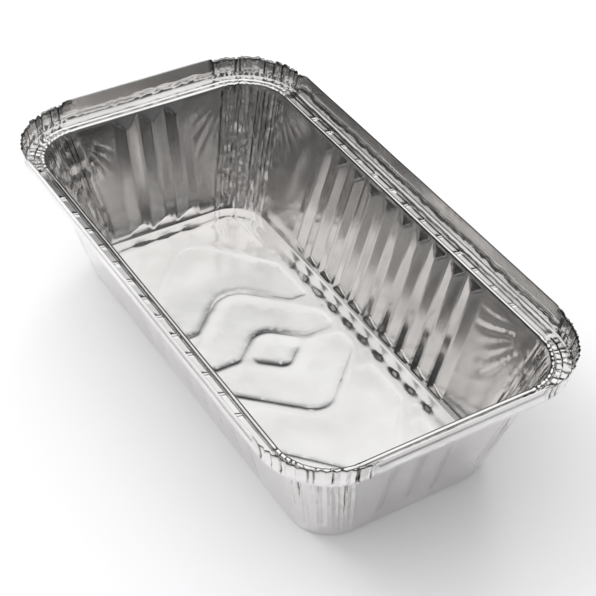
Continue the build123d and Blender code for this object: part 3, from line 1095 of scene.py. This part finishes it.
def foil_material():
    """Rolled aluminium foil, creased where it was worked."""
    material = bpy.data.materials.new("rolled foil")
    material.use_nodes = True
    tree = material.node_tree
    lines, wrinkles, smudge = [add_node(tree, "ShaderNodeGroup", node_tree=group).outputs[0]
                               for group in (grain, creases, smudges)]
    crumpled, painted_shade = [add_node(tree, "ShaderNodeAttribute", attribute_name=name).outputs["Fac"]
                      for name in ("worked", "painted_fold_shade")]
    dull = maths(tree, "MULTIPLY", smudge, smudge_dulling)
    brushed = maths(tree, "MULTIPLY", lines, grain_dulling)
    rough = maths(tree, "ADD", maths(tree, "ADD", dull, brushed), polish)
    tone = add_node(tree, "ShaderNodeMix", data_type="RGBA", inputs={
        "Factor": smudge, "A": clean_foil, "B": smudged_foil})
    # Painted shade: where the fold shade mark is set, the colour is mixed towards near black
    shade = add_node(tree, "ShaderNodeMix", data_type="RGBA", inputs={
        "Factor": painted_shade, "A": tone.outputs["Result"], "B": painted_shade_colour})
    extra = maths(tree, "MULTIPLY", crumpled, crease_when_worked)
    depth = maths(tree, "ADD", extra, crease_everywhere)
    crease = maths(tree, "MULTIPLY", wrinkles, depth)
    height = maths(tree, "ADD", crease, maths(tree, "MULTIPLY", lines, grain_depth))
    bump = add_node(tree, "ShaderNodeBump", {"Strength": 0.6, "Distance": 0.0003, "Height": height})
    finish = {"Metallic": 1.0, "Roughness": rough, "Base Color": shade.outputs["Result"],
              "Normal": bump.outputs[0]}
    for name, value in finish.items():
        feed(tree, tree.nodes["Principled BSDF"].inputs[name], value)
    return material


mesh.materials.append(foil_material())
print("materials on the tray", len(mesh.materials))

# %% [markdown]
# ## Table, light and camera
# A mirror shows its surroundings, so the light is part of the finish. The tray
# stands on a pale table. A bright ceiling with a soft edge fills the floor of
# the tray with white, and the dark room round it gives the walls their greys.
# The table gets its own even light, a little stronger from one side.

# %% Table
def table_material():
    """A plain pale matt table."""
    material = bpy.data.materials.new("pale table")
    material.use_nodes = True
    shader = material.node_tree.nodes["Principled BSDF"]
    shader.inputs["Base Color"].default_value = (0.86, 0.855, 0.86, 1)
    shader.inputs["Roughness"].default_value = 0.8
    return material


table_mesh = bpy.data.meshes.new("table")
table_mesh.from_pydata([(-4, -4, 0), (4, -4, 0), (4, 4, 0), (-4, 4, 0)], [], [(0, 1, 2, 3)])
table = bpy.data.objects.new("table", table_mesh)
table_mesh.materials.append(table_material())
link(table)
table.location.z = -0.0001
print("table", table.name)

# %% The room
# Each glow: direction, cosine where it starts, cosine where it is full, strength
ceiling = [((0.02, 0.08, 1.0), 0.57, 0.70, 1.0), ((0.0, 0.0, 1.0), 0.78, 0.95, 0.16)]
side_glows = [((0.5, 0.8, 0.3), 0.5, 0.98, 0.12), ((0.6, -0.8, 0.1), 0.6, 0.98, 0.10)]
fill_side = ((-0.6, -0.45, 0.6), -0.2, 1.0, 0.8)
dark_room, even_fill = 0.02, 0.64


def room():
    """A bright ceiling over a dark room for reflections, and an even fill for the rest."""
    world = bpy.data.worlds.new("room")
    world.use_nodes = True
    tree = world.node_tree
    sky = tree.nodes["Background"]
    where = add_node(tree, "ShaderNodeTexCoord").outputs["Generated"]

    def glow(direction, low, high, strength):
        """A soft patch of light round one direction."""
        toward = add_node(tree, "ShaderNodeVectorMath", operation="DOT_PRODUCT", inputs={
            0: where, 1: Vector(direction).normalized()})
        fade = add_node(tree, "ShaderNodeMapRange", interpolation_type="SMOOTHSTEP", inputs={
            "Value": toward.outputs["Value"], "From Min": low, "From Max": high,
            "To Max": strength})
        return fade.outputs["Result"]

    seen = dark_room
    for patch in ceiling + side_glows:
        seen = maths(tree, "ADD", glow(*patch), seen)
    fill = maths(tree, "ADD", glow(*fill_side), even_fill)
    ray = add_node(tree, "ShaderNodeLightPath").outputs["Is Glossy Ray"]
    mix = add_node(tree, "ShaderNodeMix", {"Factor": ray, "A": fill, "B": seen})
    feed(tree, sky.inputs["Strength"], mix.outputs["Result"])
    sky.inputs["Color"].default_value = (0.985, 0.99, 1, 1)
    return world


bpy.context.scene.world = room()
print("world", bpy.context.scene.world.name)


# %% Soft lamps
def lamp(name, place, size, power):
    """A square soft lamp aimed at the tray."""
    data = bpy.data.lights.new(name, "AREA")
    data.size = size
    data.energy = power
    thing = bpy.data.objects.new(name, data)
    thing.location = place
    aim = Vector((0, 0, 0.02)) - Vector(place)
    thing.rotation_euler = aim.to_track_quat("-Z", "Y").to_euler()
    link(thing)
    return thing


lamps = [lamp("overhead", (-1.3, -0.9, 1.6), 0.9, 13), lamp("backdrop", (-0.9, 0.9, 0.6), 0.5, 4)]
for thing in lamps:
    thing.visible_glossy = False
print("lamps", len(lamps))

# %% Camera
azimuth, elevation, roll = math.radians(56.04), math.radians(40.70), math.radians(3.28)
target = Vector((1.0, 7.8, 25.0)) * mm
distance = 573.6 * mm
back = Vector((math.sin(azimuth) * math.cos(elevation), -math.cos(azimuth) * math.cos(elevation),
               math.sin(elevation)))
right = Vector((math.cos(azimuth), math.sin(azimuth), 0))
up = back.cross(right)
turned_right = math.cos(roll) * right + math.sin(roll) * up
turned_up = -math.sin(roll) * right + math.cos(roll) * up
pose = Matrix((turned_right, turned_up, back)).transposed().to_4x4()
pose.translation = target + back * distance
camera_data = bpy.data.cameras.new("camera")
camera_data.sensor_width = 36.0
camera_data.lens = 94.43
camera_data.clip_start = 0.01
camera = bpy.data.objects.new("camera", camera_data)
camera.matrix_world = pose
link(camera)
bpy.context.scene.camera = camera
bpy.context.scene.view_settings.view_transform = "Standard"
print("camera at", [round(v, 3) for v in pose.translation])
